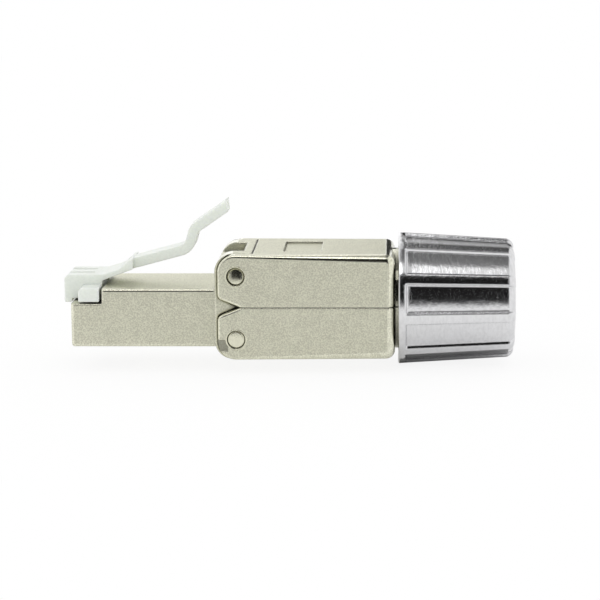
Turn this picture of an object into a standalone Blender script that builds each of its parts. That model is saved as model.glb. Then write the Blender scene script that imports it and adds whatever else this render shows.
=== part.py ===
"""Shielded field termination plug: an 8P8C modular plug that is closed on site round a data cable.

The origin is the centre of the nose's front face, +X runs to the cable and +Z is the latch side.
The die-cast housing holds the contacts and a circuit board. Two covers hinge on its pins, close over
the insulation displacement terminals, and their half necks are held shut by the cap nut.
"""
import math

import bmesh
import bpy
from mathutils import Matrix, Vector

# Nose, the end that enters the jack
nose_width = 0.01168
nose_height = 0.0069
nose_length = 0.0169
nose_wall = 0.00075
nose_edge_radius = 0.00034
notch_length = 0.00366
notch_depth = 0.0018

# Housing behind the nose
axis_height = 0.0014
land_width = 0.0124
land_front = 0.00028
block_width = 0.0114
block_fillet = 0.0021
block_lap = 0.0007
pocket_width = 0.0068
pocket_depth = 0.0011
rib_thickness = 0.0011
passage_width = 0.0082
passage_drop = 0.0020

# Covers, each a half shell above or below the cable's axis
cover_width = 0.0140
cover_height = 0.0062
cover_length = 0.0166
cover_front_radius = 0.00025
cover_rear_radius = 0.0009
cover_corner_radius = 0.0011
cover_wall = 0.0010
cover_front_wall = 0.0010
throat_width = 0.0094
throat_height = 0.0046
ear_length = 0.00412
ear_fillet = 0.0021
ear_slope_rise = 0.00105
ear_slope_run = 0.0025
ear_slope_radius = 0.0007
ramp_length = 0.0012
ramp_height = 0.0014
ramp_depth = 0.00035
panel_length = 0.0044
panel_width = 0.0078
panel_setback = 0.0035
panel_depth = 0.00025

# Necks and the cap nut that closes them
neck_length = 0.0080
neck_radius = 0.0060
neck_bore = 0.0042
neck_chamfer = 0.0006
nut_length = 0.01375
nut_front_radius = 0.00785
nut_rear_radius = 0.0071
nut_round = 0.0010
nut_collar = 0.0008
nut_thread_depth = 0.0085
nut_taper_length = 0.0021
nut_hole = 0.0044
nut_lip = 0.0003
grip_rib_count = 10
grip_rib_width = 0.0013
grip_rib_phase = math.radians(26.4)
grip_rib_flank = 0.3
grip_panel_depth = 0.00037

# Hinge pins
pin_radius = 0.0010
pin_depth = 0.0015
pin_setback = 0.00214
upper_pin_offset = 0.00367
lower_pin_offset = 0.00378
upper_pin_recess = 0.0003
lower_pin_recess = 0.00005

# Latch, one moulding that hooks over the nose
latch_width = 0.0062
latch_reach = 0.0011
latch_hook_lap = 0.00025
latch_rise = 0.00125
latch_front_radius = 0.00045
latch_root_clearance = 0.0005
latch_root_radius = 0.0003
latch_neck_length = 0.0021
latch_ramp_foot_rise = 0.00191
latch_ramp_length = 0.00125
latch_ramp_rise = 0.00115
latch_shoulder = 0.0003
latch_shoulder_depth = 0.0012
latch_base_radius = 0.0004
lever_width = 0.00325
lever_thickness = 0.00122
lever_runs = (0.00718, 0.0024, 0.00487)
lever_angles = (math.radians(14.9), math.radians(75.0), math.radians(34.7))
lever_bends = (0.0017, 0.0013)
lever_lap = 0.0004
lever_drop = 0.00017
lever_tip_slant = 0.00034
lug_length = 0.00244
lug_height = 0.00165
lug_radius = 0.0004
lug_inset = 0.00003
groove_width = 0.0010
groove_depth = 0.00014
groove_length = 0.0034
groove_spacing = 0.0026

# Contacts and their carrier
contact_count = 8
contact_pitch = 0.00102
contact_radius = 0.00018
contact_depth = 0.0007
contact_run = 0.0037
contact_tail = 0.0015
contact_slot_width = 0.00055
window_length = 0.0062
window_width = 0.0088
comb_recess = 0.0001
bridge_height = 0.0018

# Board, terminals and wire guides
board_thickness = 0.0010
board_front = 0.0080
board_overhang = 0.0006
block_setback = 0.0015
idc_length = 0.0060
idc_width = 0.0090
idc_height = 0.0026
terminal_pitch = 0.0021
terminal_width = 0.0013
terminal_thickness = 0.0004
terminal_stagger = 0.0026
terminal_proud = 0.0006
terminal_slot = 0.0003
terminal_slot_depth = 0.0014
wire_radius = 0.0005

# Clearances
seam_gap = 0.0001
seat_gap = 0.0001
carrier_back_gap = 0.00025
latch_seat_gap = 0.0002
latch_back_gap = 0.0003
hook_gap = 0.0002
nut_gap = 0.0004
thread_gap = 0.0003
pin_gap = 0.0001

# Tool sizes that leave no mark on the parts
overrun = 0.0010
arc_step = math.radians(10)
rim_steps = 4
turn_steps = 60

# Places worked out from the sizes above
nose_top = nose_height / 2
nose_bottom = -nose_height / 2
notch_floor = nose_top - notch_depth
ear_front = nose_length + land_front + seat_gap
cover_front = ear_front + ear_length
cover_rear = cover_front + cover_length
block_rear = cover_front - seat_gap
pin_x = ear_front + pin_setback
ear_inside = block_width / 2 + seat_gap
neck_end = cover_rear + neck_length
nut_front = cover_rear + nut_gap
nut_rear = nut_front + nut_length
latch_base = notch_floor + latch_seat_gap
latch_back = notch_length - latch_back_gap
hinge_x = latch_back - latch_base_radius
hinge_z = (latch_base + nose_top) / 2
carrier_top = notch_floor - nose_wall - seat_gap
carrier_back = nose_length - nose_wall - carrier_back_gap
idc_front = cover_front + block_setback
idc_rear = idc_front + idc_length

SIDE = (math.pi / 2, 0, 0)
CROSS = (math.pi / 2, 0, math.pi / 2)
ALONG_X = (0, math.pi / 2, 0)
ALONG_Y = (math.pi / 2, 0, 0)


def clear_scene():
    for old in list(bpy.data.objects):
        bpy.data.objects.remove(old, do_unlink=True)


def new_collection(name):
    group = bpy.data.collections.new(name)
    bpy.context.scene.collection.children.link(group)
    return group


def new_material(name, colour, roughness, metallic=0.0):
    finish = bpy.data.materials.new(name)
    finish.use_nodes = True
    shader = finish.node_tree.nodes["Principled BSDF"]
    shader.inputs["Base Color"].default_value = (*colour, 1)
    shader.inputs["Roughness"].default_value = roughness
    shader.inputs["Metallic"].default_value = metallic
    finish.diffuse_color = (*colour, 1)
    return finish


def add_part(solid, colour, roughness, metallic=0.0, parent=None):
    """Puts a finished solid among the parts, with its own material."""
    solid.data.materials.clear()
    solid.data.materials.append(new_material(solid.name, colour, roughness, metallic))
    parts.objects.link(solid)
    if parent:
        solid.parent = parent
    return solid


def add_tool(solid, parent=None):
    """Puts a solid that only cuts or joins among the tools, drawn as wire."""
    solid.hide_render = True
    solid.display_type = "WIRE"
    tools.objects.link(solid)
    if parent:
        solid.parent = parent
    return solid


def add_empty(name, location, rotation=(0, 0, 0)):
    empty = bpy.data.objects.new(name, None)
    empty.location = location
    empty.rotation_euler = rotation
    parts.objects.link(empty)
    return empty


def hang(solid, empty):
    """Parents a solid to an empty and leaves it where it is."""
    solid.parent = empty
    solid.matrix_parent_inverse = Matrix.Translation(empty.location).inverted()


def boolean(body, operation, operand, parent=None):
    step = body.modifiers.new(operand.name, "BOOLEAN")
    step.operation = operation
    step.solver = "EXACT"
    step.object = add_tool(operand, parent)


def cut(body, operand, parent=None):
    boolean(body, "DIFFERENCE", operand, parent)


def join(body, operand, parent=None):
    boolean(body, "UNION", operand, parent)


def mesh_object(name, shape):
    mesh = bpy.data.meshes.new(name)
    shape.to_mesh(mesh)
    shape.free()
    return bpy.data.objects.new(name, mesh)


def box(name, low, high, round_radius=0.0):
    """A box between two corners, with its edges rounded where a radius is given."""
    low, high = Vector(low), Vector(high)
    shape = bmesh.new()
    bmesh.ops.create_cube(shape, size=1)
    bmesh.ops.scale(shape, vec=high - low, verts=shape.verts)
    if round_radius:
        round_edges(shape, shape.edges, round_radius)
    solid = mesh_object(name, shape)
    solid.location = (low + high) / 2
    return solid


def cylinder(name, radius, length, centre, rotation, steps=24):
    shape = bmesh.new()
    bmesh.ops.create_cone(shape, cap_ends=True, segments=steps, radius1=radius, radius2=radius,
                          depth=length)
    solid = mesh_object(name, shape)
    solid.location = centre
    solid.rotation_euler = rotation
    solid.data.shade_smooth()
    solid.data.set_sharp_from_angle(angle=math.radians(40))
    return solid


def round_edges(shape, edges, radius, segments=3):
    bmesh.ops.bevel(shape, geom=list(edges), offset=radius, segments=segments, profile=0.5,
                    affect="EDGES")


def plate(name, points, thickness, rotation=SIDE, centre=(0, 0, 0)):
    """A flat outline of filled curve, extruded to its thickness and made a mesh."""
    curve = bpy.data.curves.new(name, "CURVE")
    curve.dimensions = "2D"
    curve.fill_mode = "BOTH"
    curve.extrude = thickness / 2
    spline = curve.splines.new("POLY")
    spline.points.add(len(points) - 1)
    for point, (across, up) in zip(spline.points, points):
        point.co = (across, up, 0, 1)
    spline.use_cyclic_u = True
    drawn = bpy.data.objects.new(name + "_outline", curve)
    bpy.context.scene.collection.objects.link(drawn)
    drawn.rotation_euler = rotation
    drawn.location = centre
    bpy.context.view_layer.update()
    evaluated = drawn.evaluated_get(bpy.context.evaluated_depsgraph_get())
    mesh = bpy.data.meshes.new_from_object(evaluated)
    shape = bmesh.new()
    shape.from_mesh(mesh)
    bpy.data.meshes.remove(mesh)
    bmesh.ops.remove_doubles(shape, verts=shape.verts, dist=0.000001)
    bmesh.ops.dissolve_limit(shape, angle_limit=math.radians(1), verts=shape.verts, edges=shape.edges)
    solid = mesh_object(name, shape)
    solid.matrix_world = drawn.matrix_world.copy()
    bpy.data.objects.remove(drawn)
    return solid


def soft_plate(name, points, thickness, radius_at):
    """A flat outline extruded to its thickness, whose rim has a radius that changes along X."""
    shape = bmesh.new()
    mitres = []
    for index, point in enumerate(points):
        before = (point - points[index - 1]).normalized()
        after = (points[(index + 1) % len(points)] - point).normalized()
        outward = Vector((before.y, -before.x)) + Vector((after.y, -after.x))
        mitres.append(outward / (1 + before.dot(after)))
    turns = [math.pi / 2 * step / rim_steps for step in range(rim_steps + 1)]
    rings = []
    for side, turn in [(-1, turn) for turn in turns] + [(1, turn) for turn in reversed(turns)]:
        ring = []
        for point, mitre in zip(points, mitres):
            radius = radius_at(point.x)
            inset = point - mitre * radius * (1 - math.sin(turn))
            depth = thickness / 2 - radius * (1 - math.cos(turn))
            ring.append(shape.verts.new((inset.x, side * depth, inset.y)))
        rings.append(ring)
    for first, second in zip(rings, rings[1:]):
        for index in range(len(points)):
            shape.faces.new((first[index - 1], first[index], second[index], second[index - 1]))
    shape.faces.new(rings[0])
    shape.faces.new(rings[-1])
    bmesh.ops.recalc_face_normals(shape, faces=shape.faces)
    return mesh_object(name, shape)


def turned(name, profile, centre, closed=False):
    """A profile of radius and place along X, from the cable end to the nose end, turned round X."""
    shape = bmesh.new()
    points = [shape.verts.new((radius, 0, along)) for radius, along in profile]
    for first, second in zip(points, points[1:]):
        shape.edges.new((first, second))
    if closed:
        shape.edges.new((points[-1], points[0]))
    solid = mesh_object(name, shape)
    solid.location = centre
    solid.rotation_euler = ALONG_X
    turn = solid.modifiers.new("turn", "SCREW")
    turn.angle = 2 * math.pi
    turn.steps = turn_steps
    turn.render_steps = turn_steps
    turn.use_merge_vertices = True
    turn.merge_threshold = 0.00001
    turn.use_smooth_shade = True
    return solid


def rounded(points, radii, closed=True):
    """The corners of an outline or a path, each turned into an arc of its radius."""
    result = []
    count = len(points)
    for index, (point, radius) in enumerate(zip(points, radii)):
        corner = Vector(point)
        if radius == 0 or (not closed and index in (0, count - 1)):
            result.append(corner)
            continue
        before = (Vector(points[index - 1]) - corner).normalized()
        after = (Vector(points[(index + 1) % count]) - corner).normalized()
        half_angle = before.angle(after) / 2
        centre = corner + (before + after).normalized() * radius / math.sin(half_angle)
        start = corner + before * radius / math.tan(half_angle) - centre
        end = corner + after * radius / math.tan(half_angle) - centre
        turn = start.angle(end)
        steps = max(1, math.ceil(turn / arc_step))
        for step in range(steps + 1):
            share = step / steps
            spoke = (start * math.sin((1 - share) * turn) + end * math.sin(share * turn)) / math.sin(turn)
            result.append(centre + spoke)
    return result


def ribbon(path, thickness, end_slant):
    """The outline of a strip of even thickness along a path, its far end cut aslant."""
    left, right = [], []
    for index, point in enumerate(path):
        before = path[max(index - 1, 0)]
        after = path[min(index + 1, len(path) - 1)]
        along = (after - before).normalized()
        normal = Vector((-along.y, along.x)) * thickness / 2
        slant = along * end_slant if index == len(path) - 1 else Vector((0, 0))
        left.append(point + normal + slant)
        right.append(point - normal - slant)
    return left + right[::-1]


def ear_outline(grow=0.0, rear=cover_rear, top=cover_height, corner=cover_corner_radius):
    """The side view of a cover above the cable's axis, carried past the seam, with its ear in front."""
    low = seam_gap / 2 - grow
    front = ear_front - grow
    slope_x = front + ear_slope_run
    return rounded(
        ((front, low + ear_slope_rise), (slope_x, low), (slope_x, -overrun), (rear, -overrun),
         (rear, top + grow), (front, top + grow)),
        (ear_slope_radius, 0, 0, 0, corner, ear_fillet + grow))


def make_housing(halves):
    """The die-cast body: the nose, and the block that carries the hinge pins between the ears."""
    housing = box("plug_housing", (0, -nose_width / 2, nose_bottom),
                  (nose_length + block_lap, nose_width / 2, nose_top), nose_edge_radius)

    top = axis_height + cover_height
    bottom = axis_height - cover_height
    corners = ((nose_length, bottom), (block_rear, bottom), (block_rear, top), (nose_length, top))
    block_outline = rounded(corners, (block_fillet, 0, 0, block_fillet))
    join(housing, plate("join_block", block_outline, land_width))
    seat_depth = overrun + (land_width - block_width) / 2
    for label, half in halves.items():
        for side in (-1, 1):
            seat = plate(f"cut_ear_seat_{label}_{side}",
                         ear_outline(seat_gap, block_rear + overrun, corner=0),
                         seat_depth, centre=(0, side * (block_width + seat_depth) / 2, 0))
            cut(housing, seat, half)
    cut(housing, box("cut_pocket", (nose_length - overrun, -pocket_width / 2, top - pocket_depth),
                     (block_rear - rib_thickness, pocket_width / 2, top + overrun)))

    inside = nose_width / 2 - nose_wall
    cavity_floor = nose_bottom + nose_wall
    cavity_back = nose_length - nose_wall
    step_x = notch_length + nose_wall
    cavity = ((-overrun, cavity_floor), (cavity_back, cavity_floor), (cavity_back, nose_top - nose_wall),
              (step_x, nose_top - nose_wall), (step_x, notch_floor - nose_wall),
              (-overrun, notch_floor - nose_wall))
    cut(housing, plate("cut_cavity", cavity, 2 * inside))
    cut(housing, box("cut_passage",
                     (cavity_back - overrun, -passage_width / 2, axis_height - passage_drop),
                     (block_rear + overrun, passage_width / 2, nose_top - nose_wall - seat_gap)))
    cut(housing, box("cut_window", (-overrun, -window_width / 2, nose_bottom - overrun),
                     (window_length, window_width / 2, cavity_floor + nose_wall)))
    cut(housing, box("cut_notch", (-overrun, -nose_width, notch_floor),
                     (notch_length, nose_width, nose_top + overrun)))
    for height in (axis_height + upper_pin_offset, axis_height - lower_pin_offset):
        for side in (-1, 1):
            depth = pin_depth + pin_gap + overrun
            centre = (pin_x, side * (block_width / 2 + overrun - depth / 2), height)
            cut(housing, cylinder(f"cut_pin_{height:.4f}_{side}", pin_radius + pin_gap, depth, centre,
                                  ALONG_Y))
    add_part(housing, (0.62, 0.60, 0.52), 0.38, 1.0)


def cover_rim_radius(x):
    """The rim of a cover is tight round its ears and softer towards the nut."""
    share = min(max((x - ear_front) / (cover_rear - ear_front), 0), 1)
    return cover_front_radius + (cover_rear_radius - cover_front_radius) * share


def make_cover(name, half, pin_offset, has_panel):
    """One half shell with two ears, a wire chamber and half of the threaded neck.

    Its own frame has the cable's axis at height 0, and the empty named half turns it over.
    """
    low = seam_gap / 2
    cover = soft_plate(name, ear_outline(), cover_width, cover_rim_radius)

    neck = ((0, neck_end), (neck_radius - neck_chamfer, neck_end), (neck_radius, neck_end - neck_chamfer),
            (neck_radius, cover_rear - cover_wall / 2), (0, cover_rear - cover_wall / 2))
    join(cover, turned(f"join_neck_{name}", neck, (0, 0, 0)), half)

    bore_length = neck_length + cover_wall + 2 * overrun
    cut(cover, cylinder(f"cut_bore_{name}", neck_bore, bore_length,
                        (neck_end + overrun - bore_length / 2, 0, 0), ALONG_X, 36), half)
    chamber_front = cover_front + cover_front_wall
    chamber_side = cover_width / 2 - cover_wall
    cut(cover, box(f"cut_chamber_{name}", (chamber_front, -chamber_side, -overrun),
                   (cover_rear - cover_wall, chamber_side, cover_height - cover_wall)), half)
    cut(cover, box(f"cut_throat_{name}", (cover_front - overrun, -throat_width / 2, -2 * overrun),
                   (chamber_front + overrun, throat_width / 2, throat_height)), half)
    cut(cover, box(f"cut_ears_{name}", (ear_front - overrun, -ear_inside, -3 * overrun),
                   (cover_front, ear_inside, cover_height + overrun)), half)
    cut(cover, cylinder(f"cut_pins_{name}", pin_radius + pin_gap, cover_width + overrun,
                        (pin_x, 0, pin_offset), ALONG_Y), half)
    if has_panel:
        start = cover_front + panel_setback
        cut(cover, box(f"cut_panel_{name}", (start, -panel_width / 2, cover_height - panel_depth),
                       (start + panel_length, panel_width / 2, cover_height + overrun)), half)
    else:
        turn = math.atan2(ramp_depth, ramp_length)
        for side in (-1, 1):
            ramp = box(f"cut_ramp_{name}_{side}", (-ramp_length, -overrun / 2, 0),
                       (ramp_length, overrun / 2, ramp_height))
            ramp.location = (ear_front + (ramp_length - overrun * math.sin(turn)) / 2,
                             side * (cover_width - ramp_depth + overrun * math.cos(turn)) / 2,
                             pin_offset + ramp_height / 2)
            ramp.rotation_euler = (0, 0, side * turn)
            cut(cover, ramp, half)
    cut(cover, box(f"cut_seam_{name}", (ear_front - overrun, -cover_width, low - 2 * neck_radius),
                   (neck_end + overrun, cover_width, low)), half)
    add_part(cover, (0.62, 0.60, 0.52), 0.38, 1.0, half)


def make_pins(label, pin_offset, recess):
    """The two short pins that one cover's ears turn on."""
    inner = block_width / 2 - pin_depth
    outer = cover_width / 2 - recess
    for word, side in (("near", -1), ("far", 1)):
        pin = cylinder(f"{label}_hinge_pin_{word}", pin_radius, outer - inner,
                       (pin_x, side * (inner + outer) / 2, axis_height + pin_offset), ALONG_Y)
        add_part(pin, (0.72, 0.71, 0.66), 0.15, 1.0)


def make_cap_nut():
    """The turned nut, with long panels milled between its grip ribs."""
    bore = neck_radius + thread_gap
    taper_start = nut_front + nut_thread_depth
    taper_end = taper_start + nut_taper_length
    round_start = nut_rear - nut_round
    end_radius = nut_rear_radius - nut_round
    arc = [(end_radius + nut_round * math.cos(turn), round_start + nut_round * math.sin(turn))
           for turn in (math.radians(90 - step * 18) for step in range(6))]
    skin = arc + [(nut_front_radius, nut_front)]
    bore_side = [(bore, nut_front), (bore, taper_start), (nut_hole, taper_end),
                 (nut_hole, nut_rear - nut_lip), (nut_hole + nut_lip, nut_rear)]
    nut = turned("cap_nut", skin + bore_side, (0, 0, axis_height), closed=True)

    panel_start = nut_front + nut_collar
    outside = nut_front_radius + overrun
    taper = (nut_rear_radius - nut_front_radius) / (nut_length - nut_round)
    front_skin = nut_front_radius + taper * nut_collar
    panel = [(front_skin - grip_panel_depth, panel_start)]
    panel += [(radius - grip_panel_depth, along) for radius, along in reversed(arc)]
    panel.append((arc[0][0] - grip_panel_depth, nut_rear + overrun))
    milled = turned("cut_grip_panels", [(outside, nut_rear + overrun), (outside, panel_start)] + panel,
                    (0, 0, axis_height), closed=True)
    star_inner = neck_radius - overrun
    star_outer = outside + overrun
    star = []
    for number in range(grip_rib_count):
        angle = grip_rib_phase + number * 2 * math.pi / grip_rib_count
        spoke = Vector((-math.cos(angle), math.sin(angle)))
        across = Vector((math.sin(angle), math.cos(angle)))
        for reach, side in ((star_inner, -1), (star_outer, -1), (star_outer, 1), (star_inner, 1)):
            half_width = grip_rib_width / 2 + (nut_rear_radius - reach) * grip_rib_flank
            half_width = max(half_width, grip_rib_width / 4)
            star.append(spoke * reach + across * side * half_width)
    star_length = nut_length + 4 * overrun
    cut(milled, plate("cut_ribs_from_panels", star, star_length, CROSS,
                      ((nut_front + nut_rear) / 2, 0, axis_height)))
    cut(nut, milled)
    add_part(nut, (0.80, 0.80, 0.80), 0.08, 1.0)
    hang(nut, add_empty("nut_slide", (nut_front, 0, axis_height)))


def make_latch():
    """The one-piece latch: a hooked block with side lugs, a ramp with its shoulder, and the lever."""
    top = nose_top + latch_rise
    root = nose_top + latch_root_clearance
    ramp_foot = latch_back + latch_neck_length
    foot_top = nose_top + latch_ramp_foot_rise
    ramp_head = ramp_foot + latch_ramp_length
    head_top = foot_top + latch_ramp_rise
    shoulder = ramp_head + latch_shoulder
    outline = rounded(
        ((-latch_reach, notch_floor - latch_hook_lap), (-hook_gap, notch_floor - latch_hook_lap),
         (-hook_gap, latch_base), (latch_back, latch_base), (latch_back, root),
         (shoulder, head_top - latch_shoulder_depth), (shoulder, head_top), (ramp_head, head_top),
         (ramp_foot, foot_top), (latch_back, top), (-latch_reach, top)),
        (0, 0, 0, latch_base_radius, latch_root_radius, 0, 0, 0, 0, 0, latch_front_radius))
    latch = plate("latch", outline, latch_width)

    path = [Vector((shoulder - lever_lap, head_top - latch_shoulder_depth / 2 - lever_drop))]
    for run, angle in zip(lever_runs, lever_angles):
        path.append(path[-1] + Vector((math.cos(angle), math.sin(angle))) * run)
    path = rounded(path, (0, *lever_bends, 0), closed=False)
    join(latch, plate("join_lever", ribbon(path, lever_thickness, lever_tip_slant), lever_width))

    lug_back = latch_back - lug_inset
    lug_base = latch_base + lug_inset
    join(latch, box("join_lugs", (lug_back - lug_length, -nose_width / 2, lug_base),
                    (lug_back, nose_width / 2, lug_base + lug_height), lug_radius))
    for side in (-1, 1):
        centre = side * groove_spacing / 2
        cut(latch, box(f"cut_groove_{side}", (-latch_reach - overrun, centre - groove_width / 2,
                                              top - groove_depth),
                       (groove_length - latch_reach, centre + groove_width / 2, top + overrun)))
    add_part(latch, (0.86, 0.88, 0.86), 0.35)
    hang(latch, add_empty("latch_hinge", (hinge_x, 0, hinge_z)))


def contact_places():
    return [(number - (contact_count - 1) / 2) * contact_pitch for number in range(contact_count)]


def contact_path():
    """The side view of one contact wire, from its free end to its tail under the board."""
    low = nose_bottom + contact_depth
    tail_z = axis_height - board_thickness / 2 - seat_gap - contact_radius
    front = contact_radius + 3 * seat_gap
    tail_x = board_front + contact_radius + 3 * seat_gap
    corners = ((front + contact_depth, low + bridge_height), (front, low + contact_depth), (front, low),
               (front + contact_run, low), (tail_x, tail_z), (tail_x + contact_tail, tail_z))
    bend = 2 * contact_radius
    return rounded(corners, (0, bend, bend, bend, bend, 0), closed=False)


def make_carrier():
    """The moulding that fills the nose, with a comb that keeps the contacts apart."""
    low = nose_bottom + nose_wall + seat_gap
    half_width = nose_width / 2 - nose_wall - seat_gap
    carrier = box("contact_carrier", (0, -half_width, low), (carrier_back, half_width, carrier_top))
    comb = window_width / 2 - seat_gap
    join(carrier, box("join_comb", (2 * seat_gap, -comb, nose_bottom + comb_recess),
                      (window_length - seat_gap, comb, low + overrun)))
    roof = nose_bottom + contact_depth + bridge_height + 2 * contact_radius
    back = board_front + contact_tail + 4 * contact_radius + 3 * seat_gap
    window_back = window_length - 2 * seat_gap
    slot = ((-overrun, nose_bottom - overrun), (window_back, nose_bottom - overrun),
            (window_back, nose_bottom + 2 * contact_depth), (back, carrier_top - contact_depth),
            (back, carrier_top + overrun), (window_length + overrun, carrier_top + overrun),
            (window_length - 2 * overrun, roof), (-overrun, roof))
    for number, y in enumerate(contact_places(), 1):
        cut(carrier, plate(f"cut_contact_slot_{number}", slot, contact_slot_width, centre=(0, y, 0)))
    add_part(carrier, (0.75, 0.76, 0.74), 0.45)


def make_contacts():
    """Eight bent wires, gold plated."""
    for number, y in enumerate(contact_places(), 1):
        curve = bpy.data.curves.new(f"contact_{number}", "CURVE")
        curve.dimensions = "3D"
        curve.bevel_depth = contact_radius
        curve.bevel_resolution = 1
        curve.use_fill_caps = True
        path = contact_path()
        spline = curve.splines.new("POLY")
        spline.points.add(len(path) - 1)
        for point, (x, z) in zip(spline.points, path):
            point.co = (x, y, z, 1)
        add_part(bpy.data.objects.new(f"contact_{number}", curve), (0.83, 0.62, 0.25), 0.2, 1.0)


def make_board():
    """The circuit board that joins the contacts to the terminals."""
    half = passage_width / 2 - seat_gap
    board = box("circuit_board", (board_front, -half, axis_height - board_thickness / 2),
                (idc_rear + board_overhang, half, axis_height + board_thickness / 2))
    add_part(board, (0.05, 0.22, 0.09), 0.4)


def terminal_places():
    """Four terminals, staggered in two rows across one block."""
    middle = idc_front + idc_length / 2
    places = []
    for number in range(4):
        x = middle + (terminal_stagger / 2 if number % 2 else -terminal_stagger / 2)
        places.append((x, (number - 1.5) * terminal_pitch))
    return places


def terminal_slot_box(name, x, y, low, high):
    half_x = terminal_thickness / 2 + seat_gap
    half_y = terminal_width / 2 + seat_gap
    return box(name, (x - half_x, y - half_y, low), (x + half_x, y + half_y, high))


def make_terminal_block(label, half, first_number):
    """One plastic block on the board with four forked terminals in it."""
    base = board_thickness / 2 + seat_gap
    top = base + idc_height
    block = box(f"idc_block_{label}", (idc_front, -idc_width / 2, base),
                (idc_rear, idc_width / 2, top))
    foot = base + 2 * seat_gap
    fork_top = top + terminal_proud
    for number, (x, y) in enumerate(terminal_places(), first_number):
        cut(block, terminal_slot_box(f"cut_terminal_seat_{number}", x, y, foot - seat_gap, top + overrun),
            half)
        fork = box(f"idc_terminal_{number}", (x - terminal_thickness / 2, y - terminal_width / 2, foot),
                   (x + terminal_thickness / 2, y + terminal_width / 2, fork_top))
        cut(fork, box(f"cut_fork_{number}", (x - terminal_thickness, y - terminal_slot / 2,
                                             fork_top - terminal_slot_depth),
                      (x + terminal_thickness, y + terminal_slot / 2, fork_top + overrun)), half)
        add_part(fork, (0.70, 0.68, 0.62), 0.25, 1.0, half)
    add_part(block, (0.80, 0.81, 0.79), 0.45, parent=half)


def make_wire_guide(label, half, first_number):
    """The grooved guide in a cover that presses each wire into its fork."""
    low = board_thickness / 2 + seat_gap + idc_height + seat_gap
    high = cover_height - cover_wall - seat_gap
    guide = box(f"wire_guide_{label}", (idc_front, -idc_width / 2, low),
                (idc_rear, idc_width / 2, high))
    for number, (x, y) in enumerate(terminal_places(), first_number):
        cut(guide, terminal_slot_box(f"cut_fork_clearance_{number}", x, y, low - overrun,
                                     low + terminal_proud), half)
        cut(guide, cylinder(f"cut_wire_groove_{number}", wire_radius, idc_length + 2 * overrun,
                            (idc_front + idc_length / 2, y, low), ALONG_X, 12), half)
    add_part(guide, (0.80, 0.81, 0.79), 0.45, parent=half)


clear_scene()
parts = new_collection("field_termination_plug")
tools = new_collection("cutters")
upper_half = add_empty("upper_half", (0, 0, axis_height))
lower_half = add_empty("lower_half", (0, 0, axis_height), (math.pi, 0, 0))

make_housing({"upper": upper_half, "lower": lower_half})
make_cover("upper_cover", upper_half, upper_pin_offset, has_panel=True)
make_cover("lower_cover", lower_half, lower_pin_offset, has_panel=False)
make_pins("upper", upper_pin_offset, upper_pin_recess)
make_pins("lower", -lower_pin_offset, lower_pin_recess)
make_cap_nut()
make_latch()
make_carrier()
make_contacts()
make_board()
make_terminal_block("upper", upper_half, 1)
make_terminal_block("lower", lower_half, 5)
make_wire_guide("upper", upper_half, 1)
make_wire_guide("lower", lower_half, 5)
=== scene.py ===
"""Looks of the field termination plug: finishes, hinge pins, ribbed cap nut, moulded latch and studio.

Every length is in metres. The origin is the centre of the nose's front face, +X runs to the cable and
+Z is the latch side.
"""
import math

import bmesh
import bpy
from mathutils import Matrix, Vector


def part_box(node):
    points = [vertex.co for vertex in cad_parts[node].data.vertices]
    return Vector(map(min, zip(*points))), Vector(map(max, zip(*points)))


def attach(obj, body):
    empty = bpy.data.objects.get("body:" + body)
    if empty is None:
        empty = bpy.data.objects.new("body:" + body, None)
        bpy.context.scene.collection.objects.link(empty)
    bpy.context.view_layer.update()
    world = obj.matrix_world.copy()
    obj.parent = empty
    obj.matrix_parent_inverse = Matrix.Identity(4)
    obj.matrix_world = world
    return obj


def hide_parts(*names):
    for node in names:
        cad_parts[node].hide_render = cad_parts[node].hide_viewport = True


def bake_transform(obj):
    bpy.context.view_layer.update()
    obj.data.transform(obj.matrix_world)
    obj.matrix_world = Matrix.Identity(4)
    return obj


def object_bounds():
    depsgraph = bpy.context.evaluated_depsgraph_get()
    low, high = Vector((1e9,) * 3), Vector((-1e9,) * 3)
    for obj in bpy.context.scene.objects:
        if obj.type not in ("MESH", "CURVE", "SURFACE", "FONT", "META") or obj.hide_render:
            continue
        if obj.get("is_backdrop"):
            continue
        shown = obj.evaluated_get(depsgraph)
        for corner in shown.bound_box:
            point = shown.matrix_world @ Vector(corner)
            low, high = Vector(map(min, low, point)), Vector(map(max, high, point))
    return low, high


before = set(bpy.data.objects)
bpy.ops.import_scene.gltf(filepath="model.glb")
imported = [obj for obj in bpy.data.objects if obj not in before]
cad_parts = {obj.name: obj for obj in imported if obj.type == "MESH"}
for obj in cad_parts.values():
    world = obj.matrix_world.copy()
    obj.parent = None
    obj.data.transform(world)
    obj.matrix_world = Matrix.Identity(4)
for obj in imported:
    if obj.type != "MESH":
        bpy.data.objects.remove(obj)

bl_info = {
    "name": "Field termination plug looks",
    "version": (1, 0, 0),
    "blender": (4, 5, 0),
    "location": "3D View > Sidebar > Plug",
    "description": "Builds the finishes, the cap nut, the latch and the studio of a field termination plug",
    "category": "Object",
}

TAU = 2 * math.pi
FINISH_NAME = "{}_finish"
# A flank from its crest to its foot: share of its run, and share of its depth
FLANK = ((0, 0), (0.06, 0.01), (0.14, 0.06), (0.24, 0.17), (0.76, 0.83), (0.86, 0.94), (0.94, 0.99), (1, 1))
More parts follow.
